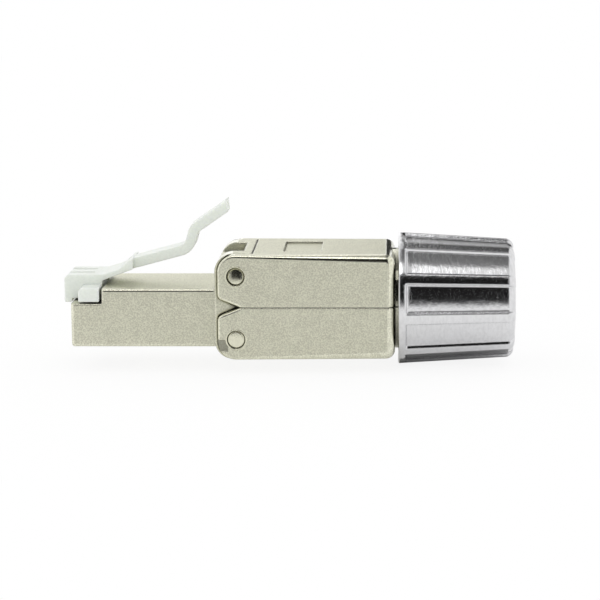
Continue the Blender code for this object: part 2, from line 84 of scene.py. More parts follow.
# The tent's panels over the housing and over the nut: angle over the near horizon in degrees, and how
# bright the panel is there
HOUSING_PANELS = ((-30, 0.9), (-6, 0.65), (2, 0.25), (8, 0.04), (34, 0.02), (48, 0.06), (51, 0.3), (54, 2.8),
                  (71, 2.8), (75, 0.5), (90, 0.5), (110, 0.9), (125, 1.25), (176, 1.25))
NUT_PANELS = ((-30, 0.9), (-9, 0.9), (-5, 0.65), (-2, 0.3), (1, 0.1), (5, 0.02), (30, 0.01), (44, 0.01),
              (50, 0.04), (54, 0.25), (58, 1.9), (67, 1.9), (71, 0.7), (75, 0.38), (80, 0.22), (104, 0.16),
              (112, 0.10), (124, 0.10), (130, 0.22), (140, 0.55), (150, 0.35), (157, 0.05), (176, 0.03))
# Copied solids: points this close are one, and faces within this angle in degrees are one
WELD = 0.0000005
FACET_ANGLE = 0.5
# Faces wider than this that fold by this many degrees keep a sharp edge between them
FOLD_WIDTH = 0.0005
FOLD_ANGLE = 5
# Narrower faces are rounded edges, unless their normal lies this close to an axis
EDGE_WIDTH = 0.0006
ON_AXIS = 0.9995
# Normals of the lead-ins' faces: least and most of them along X, and least along Y
LEAD_IN_NORMAL = (0.15, 0.5, 0.8)
# Degrees in a step of a rounded corner, and steps of rims, pins, crowns, and of the nut's sides, crests
# and panels
ARC_STEP = 6
RIM_STEPS, PIN_STEPS, CROWN_STEPS, SIDE_STEPS, CREST_STEPS, PANEL_STEPS = 5, 48, 9, 16, 3, 6
# How far out on the nut's end the panels still reach, and how deep they are there
END_REACH = 0.4
# The latch's bend starts this far before its neck and ends this far past the ramp's foot
OVERCUT = 0.001
# Cast grain: weights of its noise and cells, grains to a patch, how much of it edges lose, and how far
# the softened normal turns where an edge begins and where it is full
FINE_SHARE, CELL_SHARE, PATCH_GRAINS, EDGE_CALM = 0.7, 0.45, 14.0, 0.85
EDGE_FACING = (0.995, 0.90)
# Cast tone: weights of grain and patches, levels where it is dark and light, and the patches' roughness
GRAIN_TONE, PATCH_TONE, DARK_LEVEL, LIGHT_LEVEL, PATCH_ROUGHNESS = 0.8, 0.12, 0.42, 0.56, 0.10
# Painted shade, dark where ambient occlusion finds crevices and gaps between parts: openness where it is
# thickest and where it ends, its most, its share on the lead-ins, its colour
PAINTED_SHADE_OPEN, PAINTED_SHADE_MOST, LEAD_IN_PAINTED_SHADE, PAINTED_SHADE_COLOUR = (0.25, 0.7), 0.92, 0.55, (0.05, 0.045, 0.035, 1)
# Polished skin: stretch of its marks, its dullest share, and the levels where it is dull and bright
MARK_STRETCH, DULL_SHARE, DULL_LEVEL, BRIGHT_LEVEL = (1, 0.5, 0.5), 0.90, 0.35, 0.6
# The pins' waves are this much finer than the nut's
PIN_FINENESS = 3
# Latch and inner parts: darkest share of their colour, and size and depth of their grain over the cast one
LATCH_DARK, LATCH_GRAIN, LATCH_DEPTH = 0.96, 2, 1 / 8
INNER_DARK, INNER_GRAIN, INNER_DEPTH = 0.88, 1.5, 1 / 6
# The finish of each inner part, by how its name starts: the first start that fits counts
INNER_PARTS = (("contact_carrier", "carrier_plastic"), ("contact_", "contact_gold"),
               ("idc_terminal", "terminal_tin"), ("idc_block", "carrier_plastic"),
               ("wire_guide", "carrier_plastic"), ("circuit_board", "board_green"))


def length(name, description, default):
    return bpy.props.FloatProperty(name=name, description=description, default=default, unit="LENGTH",
                                   subtype="DISTANCE", precision=5)


def angle(name, description, default):
    return bpy.props.FloatProperty(name=name, description=description, default=math.radians(default),
                                   unit="ROTATION", subtype="ANGLE")


def number(name, description, default):
    return bpy.props.FloatProperty(name=name, description=description, default=default, precision=4)


def count(name, description, default):
    return bpy.props.IntProperty(name=name, description=description, default=default, min=1)


def colour(name, description, default):
    return bpy.props.FloatVectorProperty(name=name, description=description, default=default, size=3,
                                         subtype="COLOR", min=0, max=1)


def place(name, description, default):
    return bpy.props.FloatVectorProperty(name=name, description=description, default=default, size=3,
                                         unit="LENGTH", subtype="TRANSLATION")


class PlugFinishes(bpy.types.PropertyGroup):
    nickel_light: colour("Nickel light", "Light grains of the satin nickel", (0.83, 0.825, 0.68))
    nickel_dark: colour("Nickel dark", "Dark grains of the satin nickel", (0.615, 0.607, 0.488))
    nickel_roughness: number("Nickel roughness", "Roughness of the satin nickel", 0.50)
    edge_roughness: number("Edge roughness", "Roughness of the nickel on its worn, rounded edges", 0.15)
    grain_size: length("Grain size", "Size of one grain of the satin nickel", 0.00013)
    grain_depth: length("Grain depth", "Depth of the satin nickel's grain", 0.000045)
    edge_radius: length("Edge radius", "Softness of the cast edges", 0.00022)
    housing_edge: length("Housing edge", "Softness of the housing's edges", 0.00038)
    # Reach of the painted shade that darkens the nickel in its crevices and between parts
    painted_shade_crevice_size: length("Crevice size", "Width of the crevices that are dark in the nickel", 0.0010)
    pin_colour: colour("Pin colour", "Polished nickel of the hinge pins", (0.76, 0.75, 0.60))
    pin_roughness: number("Pin roughness", "Roughness of the hinge pins", 0.16)
    chrome_colour: colour("Chrome colour", "Bright chrome of the cap nut", (0.75, 0.75, 0.76))
    chrome_roughness: number("Chrome roughness", "Roughness of the cap nut", 0.09)
    wave_size: length("Wave size", "Size of the slow waves in the chrome", 0.0009)
    wave_depth: length("Wave depth", "Depth of the slow waves in the chrome", 0.000018)
    scratch_size: length("Scratch size", "Spacing of the fine marks in the chrome", 0.00034)
    scratch_depth: length("Scratch depth", "Depth of the fine marks in the chrome", 0.000021)
    plastic_colour: colour("Plastic colour", "Milky plastic of the latch", (0.80, 0.835, 0.78))
    plastic_roughness: number("Plastic roughness", "Roughness of the latch", 0.38)
    plastic_depth: length("Plastic depth", "How far light travels in the latch", 0.0006)
    plastic_glow: number("Plastic glow", "Share of the light that travels in the latch", 0.6)
    carrier_colour: colour("Carrier colour", "Plastic of the contact carrier and terminals",
                           (0.70, 0.72, 0.70))
    gold_colour: colour("Gold colour", "Plating of the contacts", (0.90, 0.62, 0.22))
    tin_colour: colour("Tin colour", "Plating of the terminals", (0.72, 0.71, 0.68))
    board_colour: colour("Board colour", "Solder mask of the board", (0.03, 0.20, 0.07))


class PlugNut(bpy.types.PropertyGroup):
    rib_count: count("Ribs", "Grip ribs round the nut", 10)
    rib_phase: angle("Rib phase", "Angle of the first rib above the near side", 26.4)
    rib_width: angle("Rib width", "Angle that a rib's crest covers", 8.6)
    flank_width: angle("Flank width", "Angle that a rib's flank covers", 1.7)
    panel_depth: length("Panel depth", "Depth of the panels between the ribs", 0.00037)
    collar_length: length("Collar length", "Plain collar in front of the panels", 0.0008)
    front_flank: length("Front flank", "Run of each panel's front wall", 0.0002)
    front_radius: length("Front radius", "Radius at the front of the nut", 0.00785)
    rear_radius: length("Rear radius", "Radius at the rear of the nut", 0.0071)
    front_round: length("Front rounding", "Radius of the front edge", 0.00015)
    rear_round: length("Rear rounding", "Radius of the rear shoulder", 0.0010)
    hole_radius: length("Hole radius", "Radius of the cable hole", 0.0044)
    hole_round: length("Hole rounding", "Radius of the hole's edge", 0.0003)
    bore_radius: length("Bore radius", "Radius of the threaded bore", 0.0063)
    bore_depth: length("Bore depth", "Depth of the threaded bore", 0.0085)
    taper_length: length("Taper length", "Length of the cone behind the thread", 0.0021)


class PlugLatch(bpy.types.PropertyGroup):
    block_width: length("Block width", "Width of the hooked block", 0.0062)
    block_top: length("Block top", "Height of the block's top", 0.0047)
    block_base: length("Block base", "Height of the block's base in the notch", 0.00185)
    block_back: length("Block back", "Place of the block's rear face", 0.00336)
    hook_gap: length("Hook gap", "Gap between the hook and the nose's front", 0.0002)
    root_height: length("Root height", "Height where the neck leaves the block", 0.00395)
    root_radius: length("Root radius", "Radius under the neck", 0.0004)
    base_radius: length("Base radius", "Radius of the block's lower rear edge", 0.0004)
    neck_length: length("Neck length", "Run from the block to the ramp's foot", 0.0021)
    foot_rise: length("Foot rise", "Rise of the ramp's foot over the block", 0.00066)
    ramp_length: length("Ramp length", "Run of the ramp", 0.00125)
    ramp_rise: length("Ramp rise", "Rise of the ramp", 0.00115)
    shoulder: length("Shoulder", "Flat behind the ramp", 0.0003)
    shoulder_depth: length("Shoulder depth", "Height of the shoulder's rear face", 0.0012)
    lever_lap: length("Lever lap", "How far the lever starts inside the shoulder", 0.0004)
    lever_drop: length("Lever drop", "How far the lever starts under the shoulder's middle", 0.00017)
    lever_width: length("Lever width", "Width of the lever", 0.00325)
    lever_thickness: length("Lever thickness", "Thickness of the lever", 0.00122)
    lever_run: length("Lever run", "Length of the lever's straight", 0.00718)
    lever_rise: angle("Lever rise", "Slope of the lever's straight", 14.9)
    bend_run: length("Bend run", "Length of the steep part", 0.0024)
    bend_rise: angle("Bend rise", "Slope of the steep part", 75.0)
    tip_run: length("Tip run", "Length of the thumb tip", 0.00487)
    tip_rise: angle("Tip rise", "Slope of the thumb tip", 34.7)
    lever_bend: length("Lever bend", "Radius of the lower bend", 0.0017)
    tip_bend: length("Tip bend", "Radius of the upper bend", 0.0013)
    tip_slant: length("Tip slant", "How far the tip's end leans", 0.00034)
    front_chamfer: length("Front chamfer", "Run of the chamfer on the front edge", 0.00042)
    edge_radius: length("Edge radius", "Radius of the moulded edges", 0.00016)
    rim_radius: length("Rim radius", "Radius of the edges between the sides and the outline", 0.00010)
    crest_radius: length("Crest radius", "Radius of the shoulder's upper edge", 0.00012)
    head_radius: length("Head radius", "Radius between the ramp and the shoulder", 0.0003)
    ramp_radius: length("Ramp radius", "Radius at the ramp's foot and the neck", 0.0009)
    lug_length: length("Lug length", "Length of a side lug", 0.00244)
    lug_height: length("Lug height", "Height of a side lug", 0.00165)
    lug_inset: length("Lug inset", "Set-back of a side lug from the block's faces", 0.00003)
    lug_radius: length("Lug radius", "Radius of a side lug's upper front edge", 0.0006)
    groove_width: length("Groove width", "Width of a top groove", 0.0010)
    groove_depth: length("Groove depth", "Depth of a top groove", 0.00014)
    groove_length: length("Groove length", "Length of a top groove", 0.0034)
    groove_spacing: length("Groove spacing", "Distance between the top grooves", 0.0026)
    groove_round: length("Groove rounding", "Radius of a top groove's edges", 0.00012)


class PlugPins(bpy.types.PropertyGroup):
    upper_recess: length("Upper recess", "Depth of the upper pins behind the cover's face", 0.00025)
    lower_recess: length("Lower recess", "Depth of the lower pins behind the cover's face", 0.00003)
    crown_height: length("Crown height", "Rise of an upper pin's crowned end", 0.00010)
    lower_crown: length("Lower crown", "Rise of a lower pin's crowned end", 0.00002)
    face_slant: angle("Face slant", "Upward lean of an upper pin's end", 9)
    edge_round: length("Edge rounding", "Radius of a pin's edge", 0.00014)
    hole_gap: length("Hole gap", "Gap between a pin and its hole", 0.00008)
    lip_width: length("Lip width", "Width of the rubbed lip round a hole", 0.00018)
    lip_height: length("Lip height", "Height of the rubbed lip round a hole", 0.00003)


class PlugStage(bpy.types.PropertyGroup):
    camera_place: place("Camera place", "Where the camera stands", (0.03739, -0.24588, 0.04470))
    camera_pitch: angle("Camera pitch", "Dip of the camera", 10.054)
    camera_lens: number("Lens", "Focal length in millimetres on a 36 mm frame", 124.97)
    camera_shift: number("Lens shift", "Sideways shift of the frame, as a share of its width", -0.1498)
    floor_size: length("Floor size", "Width of the floor", 1.2)
    floor_gap: length("Floor gap", "Distance of the floor under the nut", 0.00005)
    floor_shade: number("Floor shade", "How strongly the floor takes a shadow", 0.12)
    mirrored_shade: number("Mirrored shade", "How strongly the metal shows the floor's shadow", 0.75)
    floor_light: number("Floor light", "Brightness of the floor as matt surfaces see it", 0.95)
    floor_front: length("Floor front", "Distance of the floor's front edge", 0.055)
    tent_radius: length("Tent radius", "Radius of the tent", 0.9)
    tent_reach: length("Tent reach", "Half the length of the tent along the plug", 0.40)
    tent_start: angle("Tent start", "Angle of the tent's front hem over the near horizon", -30)
    tent_end: angle("Tent end", "Angle of the tent's rear hem over the near horizon", 176)
    seam_start: length("Seam start", "Place along the plug where the nut's panels begin", 0.048)
    seam_end: length("Seam end", "Place along the plug where the nut's panels are alone", 0.066)
    key_start: length("Key start", "Place along the plug where the nut's strip light begins to fall", 0.15)
    key_end: length("Key end", "Place along the plug where the nut's strip light is weakest", 0.21)
    key_high: number("Key high", "Most light of the nut's panels where the strip light begins to fall", 1.4)
    key_low: number("Key low", "Most light of the nut's panels where the strip light is weakest", 0.66)
    # A painted dark reflection: a card behind the nut that only the metal mirrors
    flag_start: length("Flag start", "Place along the plug where the flag behind the nut begins", 0.041)
    flag_end: length("Flag end", "Place along the plug where the flag behind the nut ends", 0.058)
    flag_distance: length("Flag distance", "Distance of the flag behind the plug", 0.20)
    flag_height: length("Flag height", "Height of the flag's upper edge", 0.055)
    flag_shade: number("Flag shade", "Tone of the flag", 0.04)
    # A painted shadow that only the metal mirrors: a dark strip under the nut
    contact_shadow_width: length("Contact width", "Width of the dark strip that the nut mirrors beneath it", 0.0066)
    contact_shadow_tone: number("Contact shade", "Tone of that strip", 0.45)


# Shapes


def link(solid):
    bpy.context.scene.collection.objects.link(solid)
    return solid


def mesh_object(name, shape):
    mesh = bpy.data.meshes.new(name)
    bmesh.ops.recalc_face_normals(shape, faces=shape.faces)
    shape.to_mesh(mesh)
    shape.free()
    return link(bpy.data.objects.new(name, mesh))


def soften(solid, sharp=35):
    """Shades a mesh smooth, apart from the edges that fold by more than an angle in degrees."""
    shape = bmesh.new()
    shape.from_mesh(solid.data)
    for face in shape.faces:
        face.smooth = True
    for edge in shape.edges:
        edge.smooth = len(edge.link_faces) == 2 and edge.calc_face_angle(0) < math.radians(sharp)
    shape.to_mesh(solid.data)
    shape.free()
    return solid


def arc(centre, radius, start, end, steps):
    """Points of an arc from one angle to another, in degrees."""
    points = []
    for step in range(steps + 1):
        turn = math.radians(start + (end - start) * step / steps)
        points.append(Vector((centre[0] + radius * math.cos(turn), centre[1] + radius * math.sin(turn))))
    return points


def rounded(points, radii, closed=True):
    """The corners of an outline or a path, each turned into an arc of its radius."""
    result = []
    total = len(points)
    for index, (point, radius) in enumerate(zip(points, radii)):
        corner = Vector(point)
        if radius == 0 or (not closed and index in (0, total - 1)):
            result.append(corner)
            continue
        before = (Vector(points[index - 1]) - corner).normalized()
        after = (Vector(points[(index + 1) % total]) - corner).normalized()
        half_angle = before.angle(after) / 2
        centre = corner + (before + after).normalized() * radius / math.sin(half_angle)
        start = corner + before * radius / math.tan(half_angle) - centre
        end = corner + after * radius / math.tan(half_angle) - centre
        turn = start.angle(end)
        steps = max(2, math.ceil(math.degrees(turn) / ARC_STEP))
        for step in range(steps + 1):
            share = step / steps
            spoke = (start * math.sin((1 - share) * turn) + end * math.sin(share * turn)) / math.sin(turn)
            result.append(centre + spoke)
    return result


def loft(shape, rings, closed=False):
    """Joins each ring of points to the next, and caps the ends unless the last ring joins the first."""
    for first, second in zip(rings, rings[1:] + rings[:1] if closed else rings[1:]):
        for index in range(len(first)):
            shape.faces.new((first[index - 1], first[index], second[index], second[index - 1]))
    if not closed:
        shape.faces.new(rings[0])
        shape.faces.new(rings[-1])


def soft_plate(name, points, thickness, rim_radius):
    """An anticlockwise outline in the XZ plane, extruded along Y, with a rounded rim."""
    shape = bmesh.new()
    mitres = []
    for index, point in enumerate(points):
        before = (point - points[index - 1]).normalized()
        after = (points[(index + 1) % len(points)] - point).normalized()
        outward = Vector((before.y, -before.x)) + Vector((after.y, -after.x))
        mitres.append(outward / (1 + before.dot(after)))
    turns = [math.pi / 2 * step / RIM_STEPS for step in range(RIM_STEPS + 1)]
    rings = []
    for side, turn in [(-1, turn) for turn in turns] + [(1, turn) for turn in reversed(turns)]:
        ring = []
        depth = thickness / 2 - rim_radius * (1 - math.cos(turn))
        for point, mitre in zip(points, mitres):
            inset = point - mitre * rim_radius * (1 - math.sin(turn))
            ring.append(shape.verts.new((inset.x, side * depth, inset.y)))
        rings.append(ring)
    loft(shape, rings)
    return mesh_object(name, shape)


def soft_box(name, low, high, radius):
    low, high = Vector(low), Vector(high)
    shape = bmesh.new()
    bmesh.ops.create_cube(shape, size=1)
    bmesh.ops.scale(shape, vec=high - low, verts=shape.verts)
    bmesh.ops.translate(shape, vec=(low + high) / 2, verts=shape.verts)
    bmesh.ops.bevel(shape, geom=list(shape.edges), offset=radius, segments=4, profile=0.5, affect="EDGES")
    return mesh_object(name, shape)


def combine(body, operations):
    """Joins or cuts a mesh with others, and keeps only the result."""
    for operation, operand in operations:
        step = body.modifiers.new(operand.name, "BOOLEAN")
        step.operation = operation
        step.solver = "EXACT"
        step.object = operand
    bpy.context.view_layer.update()
    graph = bpy.context.evaluated_depsgraph_get()
    mesh = bpy.data.meshes.new_from_object(body.evaluated_get(graph))
    body.modifiers.clear()
    body.data = mesh
    for _, operand in operations:
        bpy.data.objects.remove(operand)


def keep_folds(solid):
    """Keeps the edge sharp where two broad flat faces meet at a slight angle."""
    shape = bmesh.new()
    shape.from_mesh(solid.data)
    for edge in shape.edges:
        if len(edge.link_faces) != 2 or edge.calc_face_angle(0) < math.radians(FOLD_ANGLE):
            continue
        if all(face_width(face) > FOLD_WIDTH for face in edge.link_faces):
            edge.smooth = False
    shape.to_mesh(solid.data)
    shape.free()
    return solid


def flat_shading(solid):
    """Lets the large flat faces of a mesh set the shading of its rounded edges."""
    step = solid.modifiers.new("weighted_normals", "WEIGHTED_NORMAL")
    step.keep_sharp = True
    step.weight = 80
    return solid


def face_width(face):
    return 2 * face.calc_area() / face.calc_perimeter()


def mark_edges(shape):
    """Marks the narrow faces of rounded edges, rubbed bright, and the lower pins' lead-ins, where shade is
    painted.
    """
    layer = shape.faces.layers.float.new("edge")
    for face in shape.faces:
        slanted = max(abs(part) for part in face.normal) < ON_AXIS
        face[layer] = float(slanted and face_width(face) < EDGE_WIDTH)
    # Lead-in faces are marked for the painted shade of the nickel finish
    layer = shape.faces.layers.float.new("lead_in_shade_mask")
    least, most, across = LEAD_IN_NORMAL
    for face in shape.faces:
        leaning = least < abs(face.normal.x) < most and abs(face.normal.y) > across
        face[layer] = float(leaning and face_width(face) > EDGE_WIDTH)


def fine_copy(node):
    """A copy of a CAD node's mesh, welded and shaded smooth over its small facets."""
    shape = bmesh.new()
    shape.from_mesh(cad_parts[node].data)
    bmesh.ops.remove_doubles(shape, verts=shape.verts, dist=WELD)
    bmesh.ops.dissolve_limit(shape, angle_limit=math.radians(FACET_ANGLE), verts=shape.verts,
                             edges=shape.edges)
    shape.normal_update()
    mark_edges(shape)
    return flat_shading(keep_folds(soften(mesh_object(node + "_skin", shape))))


def show(piece, body, slot_name, finish, *nodes):
    """Gives a piece its finish and its body, and hides the CAD nodes that it stands for."""
    piece.data.materials.clear()
    piece.data.materials.append(finish_named(finish))
    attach(piece, body)
    if nodes:
        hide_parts(*nodes)


# Finishes


class Nodes:
    """Adds nodes to one tree, each a column further to the right."""

    def __init__(self, tree):
        self.tree = tree
        self.column = 0

    def add(self, kind, inputs=None, **settings):
        node = self.tree.nodes.new(kind)
        node.location = (self.column * 200, 0)
        self.column += 1
        for key, value in settings.items():
            setattr(node, key, value)
        for key, value in (inputs or {}).items():
            if isinstance(value, bpy.types.NodeSocket):
                self.tree.links.new(value, node.inputs[key])
            else:
                node.inputs[key].default_value = value
        return node

    def math(self, operation, first, second=0.0):
        return self.add("ShaderNodeMath", {0: first, 1: second}, operation=operation).outputs[0]

    def span(self, value, start, end, low=0.0, high=1.0):
        return self.add("ShaderNodeMapRange", {"Value": value, "From Min": start, "From Max": end,
                                               "To Min": low, "To Max": high}).outputs["Result"]

    def noise(self, where, scale, detail, roughness=0.5):
        return self.add("ShaderNodeTexNoise", {"Vector": where, "Scale": scale, "Detail": detail,
                                               "Roughness": roughness}).outputs["Fac"]

    def bevel(self, radius, samples):
        return self.add("ShaderNodeBevel", {"Radius": radius}, samples=samples).outputs["Normal"]

    def bump(self, height, distance, normal):
        return self.add("ShaderNodeBump", {"Strength": 1.0, "Height": height, "Distance": distance,
                                           "Normal": normal}).outputs["Normal"]

    def ramp(self, factor, stops):
        node = self.add("ShaderNodeValToRGB", {"Fac": factor})
        elements = node.color_ramp.elements
        while len(elements) > 1:
            elements.remove(elements[-1])
        for index, (position, value) in enumerate(stops):
            element = elements[0] if index == 0 else elements.new(position)
            element.position = position
            element.color = (value, value, value, 1) if isinstance(value, float) else (*value, 1)
        return node.outputs["Color"]


def new_group(name, inputs, outputs):
    tree = bpy.data.node_groups.new(name, "ShaderNodeTree")
    for title, kind, value in inputs:
        socket = tree.interface.new_socket(name=title, in_out="INPUT", socket_type=kind)
        socket.default_value = value
    for title, kind in outputs:
        tree.interface.new_socket(name=title, in_out="OUTPUT", socket_type=kind)
    nodes = Nodes(tree)
    return tree, nodes, nodes.add("NodeGroupInput").outputs


def cast_grain_group():
    """Light and dark grains of a sand-cast and plated skin, with soft edges."""
    tree, nodes, given = new_group(
        "Cast grain",
        [("Size", "NodeSocketFloat", 0.0002), ("Depth", "NodeSocketFloat", 0.00001),
         ("Edge radius", "NodeSocketFloat", 0.0001)],
        [("Grain", "NodeSocketFloat"), ("Patches", "NodeSocketFloat"), ("Edge", "NodeSocketFloat"),
         ("Normal", "NodeSocketVector")])
    where = nodes.add("ShaderNodeTexCoord").outputs["Object"]
    scale = nodes.math("DIVIDE", 1.0, given["Size"])
    fine = nodes.noise(where, scale, 4.0, 0.65)
    cells = nodes.add("ShaderNodeTexVoronoi", {"Vector": where, "Scale": scale, "Randomness": 1.0},
                      feature="SMOOTH_F1").outputs["Distance"]
    patches = nodes.noise(where, nodes.math("DIVIDE", scale, PATCH_GRAINS), 3.0)
    grain = nodes.math("ADD", nodes.math("MULTIPLY", fine, FINE_SHARE),
                       nodes.math("MULTIPLY", cells, CELL_SHARE))
    soft = nodes.bevel(given["Edge radius"], 8)
    plain = nodes.add("ShaderNodeNewGeometry").outputs["Normal"]
    facing = nodes.add("ShaderNodeVectorMath", {0: soft, 1: plain}, operation="DOT_PRODUCT").outputs["Value"]
    edge = nodes.span(facing, *EDGE_FACING)
    level = nodes.math("SUBTRACT", 1.0, nodes.math("MULTIPLY", edge, EDGE_CALM))
    normal = nodes.bump(grain, nodes.math("MULTIPLY", given["Depth"], level), soft)
    nodes.add("NodeGroupOutput", {"Grain": grain, "Patches": patches, "Edge": edge, "Normal": normal})
    return tree


def wavy_skin_group():
    """Slow waves and fine marks of a polished, plated skin."""
    tree, nodes, given = new_group(
        "Wavy skin",
        [("Wave size", "NodeSocketFloat", 0.002), ("Wave depth", "NodeSocketFloat", 0.00001),
         ("Mark size", "NodeSocketFloat", 0.0002), ("Mark depth", "NodeSocketFloat", 0.000001),
         ("Edge radius", "NodeSocketFloat", 0.0001)],
        [("Marks", "NodeSocketFloat"), ("Normal", "NodeSocketVector")])
    where = nodes.add("ShaderNodeTexCoord").outputs["Object"]
    waves = nodes.noise(where, nodes.math("DIVIDE", 1.0, given["Wave size"]), 2.0)
    along = nodes.add("ShaderNodeMapping", {"Vector": where, "Scale": MARK_STRETCH}).outputs["Vector"]
    marks = nodes.noise(along, nodes.math("DIVIDE", 1.0, given["Mark size"]), 5.0, 0.7)
    slow = nodes.bump(waves, given["Wave depth"], nodes.bevel(given["Edge radius"], 6))
    fine = nodes.bump(marks, given["Mark depth"], slow)
    nodes.add("NodeGroupOutput", {"Marks": marks, "Normal": fine})
    return tree


def finish_named(name):
    """A finish of this script, whose names differ from those of the solids' plain materials."""
    return bpy.data.materials[FINISH_NAME.format(name)]


def new_finish(name, roughness, metallic):
    title = FINISH_NAME.format(name)
    finish = bpy.data.materials.new(title)
    if finish.name != title:
        raise RuntimeError(f"the finish {title} exists already")
    finish.use_nodes = True
    shader = finish.node_tree.nodes["Principled BSDF"]
    shader.inputs["Roughness"].default_value = roughness
    shader.inputs["Metallic"].default_value = metallic
    return finish, shader, Nodes(finish.node_tree)


def bare_material(name):
    """A material with no nodes yet, and what adds them."""
    material = bpy.data.materials.new(name)
    material.use_nodes = True
    material.node_tree.nodes.clear()
    return material, Nodes(material.node_tree)


def cast_finish(name, light, dark, roughness, metallic, grain_tree, size, depth, edge, worn=None,
                crevice=None):
    """A cast or moulded skin whose colour and roughness follow its grain; given worn edges, shade is also
    painted dark into its crevices.
    """
    finish, shader, nodes = new_finish(name, roughness, metallic)
    group = nodes.add("ShaderNodeGroup", {"Size": size, "Depth": depth, "Edge radius": edge},
                      node_tree=grain_tree)
    grain = group.outputs
    mix = nodes.math("ADD", nodes.math("MULTIPLY", grain["Grain"], GRAIN_TONE),
                     nodes.math("MULTIPLY", grain["Patches"], PATCH_TONE))
    tone = nodes.ramp(mix, [(DARK_LEVEL, dark), (LIGHT_LEVEL, light)])
    links = finish.node_tree.links
    rough = nodes.math("ADD", nodes.math("MULTIPLY", grain["Patches"], PATCH_ROUGHNESS),
                       roughness - PATCH_ROUGHNESS / 2)
    if worn is not None:
        narrow = nodes.add("ShaderNodeAttribute", attribute_name="edge").outputs["Fac"]
        smooth = nodes.math("SUBTRACT", 1.0, nodes.math("MULTIPLY", narrow, EDGE_CALM))
        links.new(nodes.math("MULTIPLY", smooth, depth), group.inputs["Depth"])
        rubbed = nodes.math("MAXIMUM", narrow, grain["Edge"])
        rough = nodes.add("ShaderNodeMix", {"Factor": rubbed, 2: rough, 3: worn}).outputs[0]
        ramp = nodes.add("ShaderNodeAttribute", attribute_name="lead_in_shade_mask").outputs["Fac"]
        # Painted shade: the nickel darkens where ambient occlusion finds crevices and gaps between parts,
        # and on the lower pins' lead-ins
        open_air = nodes.add("ShaderNodeAmbientOcclusion", {"Distance": crevice}, samples=6).outputs["AO"]
        painted_shade = nodes.span(open_air, *PAINTED_SHADE_OPEN, PAINTED_SHADE_MOST, 0.0)
        shade = nodes.math("MAXIMUM", painted_shade, nodes.math("MULTIPLY", ramp, LEAD_IN_PAINTED_SHADE))
        tone = nodes.add("ShaderNodeMix", {"Factor": shade, 6: tone, 7: PAINTED_SHADE_COLOUR},
                         data_type="RGBA").outputs[2]
    links.new(tone, shader.inputs["Base Color"])
    links.new(rough, shader.inputs["Roughness"])
    links.new(grain["Normal"], shader.inputs["Normal"])
    return shader


def polished_finish(name, base, roughness, wavy_tree, wave, wave_depth, mark, mark_depth, edge):
    """A bright plated skin with slow waves and fine marks."""
    finish, shader, nodes = new_finish(name, roughness, 1.0)
    skin = nodes.add("ShaderNodeGroup", {"Wave size": wave, "Wave depth": wave_depth, "Mark size": mark,
                                         "Mark depth": mark_depth, "Edge radius": edge},
                     node_tree=wavy_tree).outputs
    dull = [part * DULL_SHARE for part in base]
    tone = nodes.ramp(skin["Marks"], [(DULL_LEVEL, dull), (BRIGHT_LEVEL, base)])
    rough = nodes.math("ADD", nodes.math("MULTIPLY", skin["Marks"], roughness), roughness / 2)
    links = finish.node_tree.links
    links.new(tone, shader.inputs["Base Color"])
    links.new(rough, shader.inputs["Roughness"])
    links.new(skin["Normal"], shader.inputs["Normal"])


class PLUG_OT_finishes(bpy.types.Operator):
    """Makes every finish of the plug"""

    bl_idname = "plug.finishes"
    bl_label = "Make finishes"

    def execute(self, context):
        given = context.scene.plug_finishes
        grain = cast_grain_group()
        wavy = wavy_skin_group()
        for name, edge in (("satin_nickel", given.edge_radius), ("housing_nickel", given.housing_edge)):
            cast_finish(name, given.nickel_light, given.nickel_dark, given.nickel_roughness, 1.0, grain,
                        given.grain_size, given.grain_depth, edge, given.edge_roughness,
                        given.painted_shade_crevice_size)
        for name, base, roughness, fineness in (
                ("polished_nickel", given.pin_colour, given.pin_roughness, PIN_FINENESS),
                ("bright_chrome", given.chrome_colour, given.chrome_roughness, 1)):
            polished_finish(name, base, roughness, wavy, given.wave_size / fineness,
                            given.wave_depth / fineness, given.scratch_size, given.scratch_depth,
                            given.edge_radius)
        light = given.plastic_colour
        dark = [part * LATCH_DARK for part in light]
        shader = cast_finish("latch_plastic", light, dark, given.plastic_roughness, 0.0, grain,
                             given.grain_size * LATCH_GRAIN, given.grain_depth * LATCH_DEPTH,
                             given.edge_radius)
        shader.inputs["Subsurface Weight"].default_value = given.plastic_glow
        shader.inputs["Subsurface Radius"].default_value = (1.0, 1.0, 0.9)
        shader.inputs["Subsurface Scale"].default_value = given.plastic_depth
        for name, light, roughness, metallic in (
                ("carrier_plastic", given.carrier_colour, 0.45, 0.0),
                ("contact_gold", given.gold_colour, 0.22, 1.0),
                ("terminal_tin", given.tin_colour, 0.3, 1.0),
                ("board_green", given.board_colour, 0.4, 0.0)):
            dark = [part * INNER_DARK for part in light]
            cast_finish(name, light, dark, roughness, metallic, grain, given.grain_size * INNER_GRAIN,
                        given.grain_depth * INNER_DEPTH, given.edge_radius / 2)
        return {"FINISHED"}


# Pieces


class PLUG_OT_shells(bpy.types.Operator):
    """Smooths the cast housing and the covers over the solids"""

    bl_idname = "plug.shells"
    bl_label = "Make shells"

    def execute(self, context):
        for node, finish in (("plug_housing", "housing_nickel"), ("upper_cover", "satin_nickel"),
                             ("lower_cover", "satin_nickel")):
            show(fine_copy(node), "plug", "satin_nickel", finish, node)
        return {"FINISHED"}


